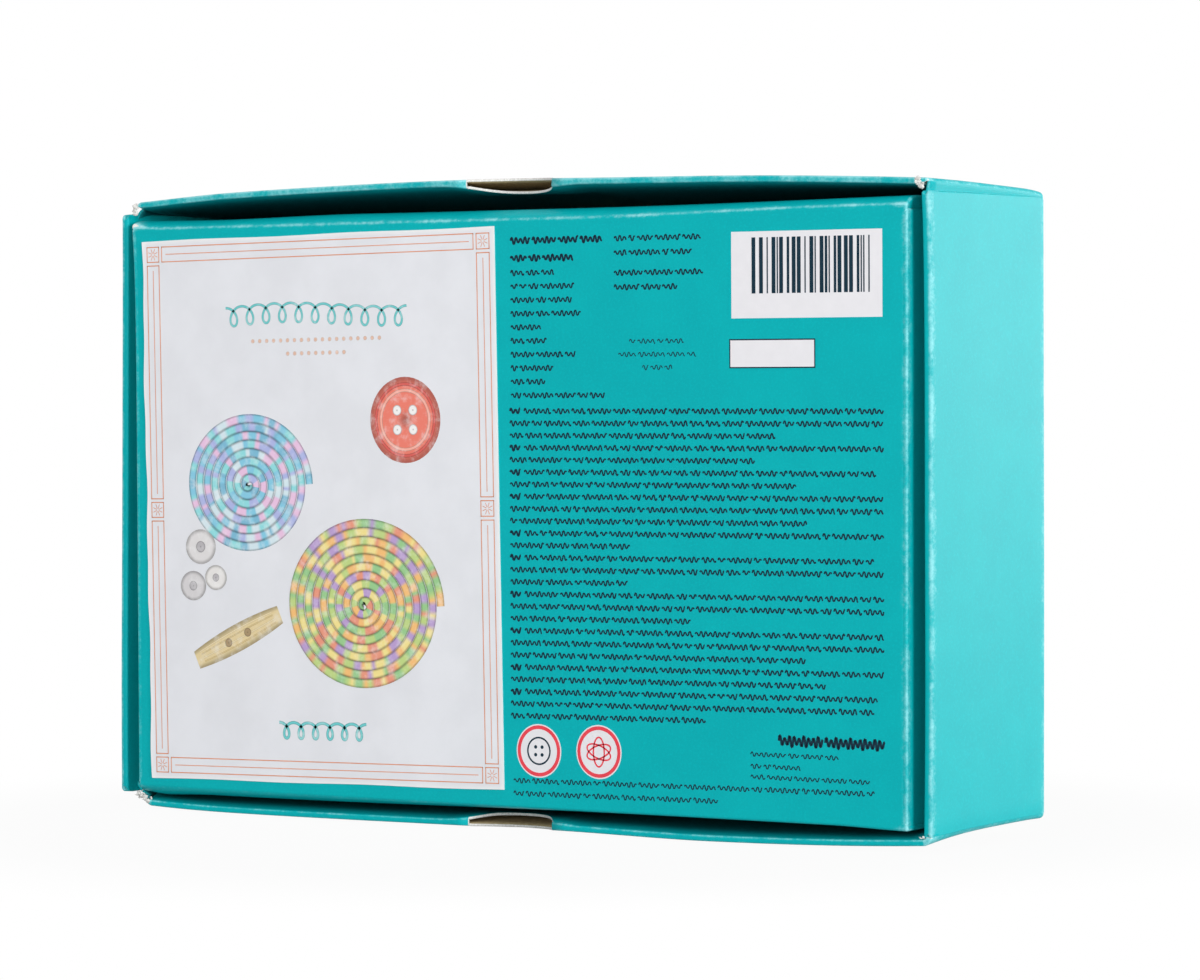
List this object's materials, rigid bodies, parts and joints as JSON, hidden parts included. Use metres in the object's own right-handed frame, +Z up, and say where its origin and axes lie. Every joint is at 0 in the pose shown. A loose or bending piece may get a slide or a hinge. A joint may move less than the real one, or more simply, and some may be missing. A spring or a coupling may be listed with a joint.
{
  "type": "boxed knitting spool kit",
  "caption": "Closed two-part cardboard carton standing on a long side, holding a wooden knitting spool that makes i-cord, with its hook, yarn, leaflet and card insert.",
  "frame": {"origin": "centre of the bounding box's bottom, under the closed carton standing on its long side", "axes": "+Z up, +X along the carton's width, to the right of one who looks at the printed underside, +Y from the printed underside to the lid's panel, the way the lid comes off"},
  "size_m": [0.228, 0.0546, 0.1524],
  "materials": {
    "carton": "satin printed board",
    "label_paper": "smooth printed paper",
    "insert_card": "matte uncoated card",
    "leaflet_paper": "matte paper",
    "stem_wood": "pale limed wood",
    "cap_paint": "satin red paint with white dots",
    "peg_wire": "bright wire",
    "hook_wood": "smooth bare wood",
    "warm_yarn": "striped wool yarn",
    "cool_yarn": "striped wool yarn",
    "band_paper": "matte kraft paper"
  },
  "bodies": {
    "base": {"base_carton": "carton", "picture_label": "label_paper", "card_insert": "insert_card"},
    "lid": {"lid_carton": "carton"},
    "leaflet": {"instruction_leaflet": "leaflet_paper"},
    "spool": {"spool_stem": "stem_wood", "spool_cap": "cap_paint", "peg_front": "peg_wire", "peg_back": "peg_wire", "peg_left": "peg_wire", "peg_right": "peg_wire"},
    "hook": {"hook_needle": "hook_wood"},
    "warm_skein": {"skein_warm": "warm_yarn", "band_warm": "band_paper"},
    "cool_skein": {"skein_cool": "cool_yarn", "band_cool": "band_paper"}
  },
  "joints": [
    {"name": "lid_pull", "type": "slide", "parent": "base", "child": "lid", "axis": [0, 1, 0], "range_m": [0, 0.16]},
    {"name": "leaflet_lift", "type": "slide", "parent": "base", "child": "leaflet", "axis": [0, 1, 0], "range_m": [0, 0.096]},
    {"name": "spool_lift", "type": "slide", "parent": "base", "child": "spool", "axis": [0, 1, 0], "range_m": [0, 0.056]},
    {"name": "hook_lift", "type": "slide", "parent": "base", "child": "hook", "axis": [0, 1, 0], "range_m": [0, 0.056]},
    {"name": "warm_skein_lift", "type": "slide", "parent": "base", "child": "warm_skein", "axis": [0, 1, 0], "range_m": [0, 0.056]},
    {"name": "cool_skein_lift", "type": "slide", "parent": "base", "child": "cool_skein", "axis": [0, 1, 0], "range_m": [0, 0.056]}
  ],
  "couplings": [
    {"joint": "leaflet_lift", "follows": "lid_pull", "ratio": 0.6},
    {"joint": "spool_lift", "follows": "lid_pull", "ratio": 0.35},
    {"joint": "hook_lift", "follows": "lid_pull", "ratio": 0.35},
    {"joint": "warm_skein_lift", "follows": "lid_pull", "ratio": 0.35},
    {"joint": "cool_skein_lift", "follows": "lid_pull", "ratio": 0.35}
  ]
}
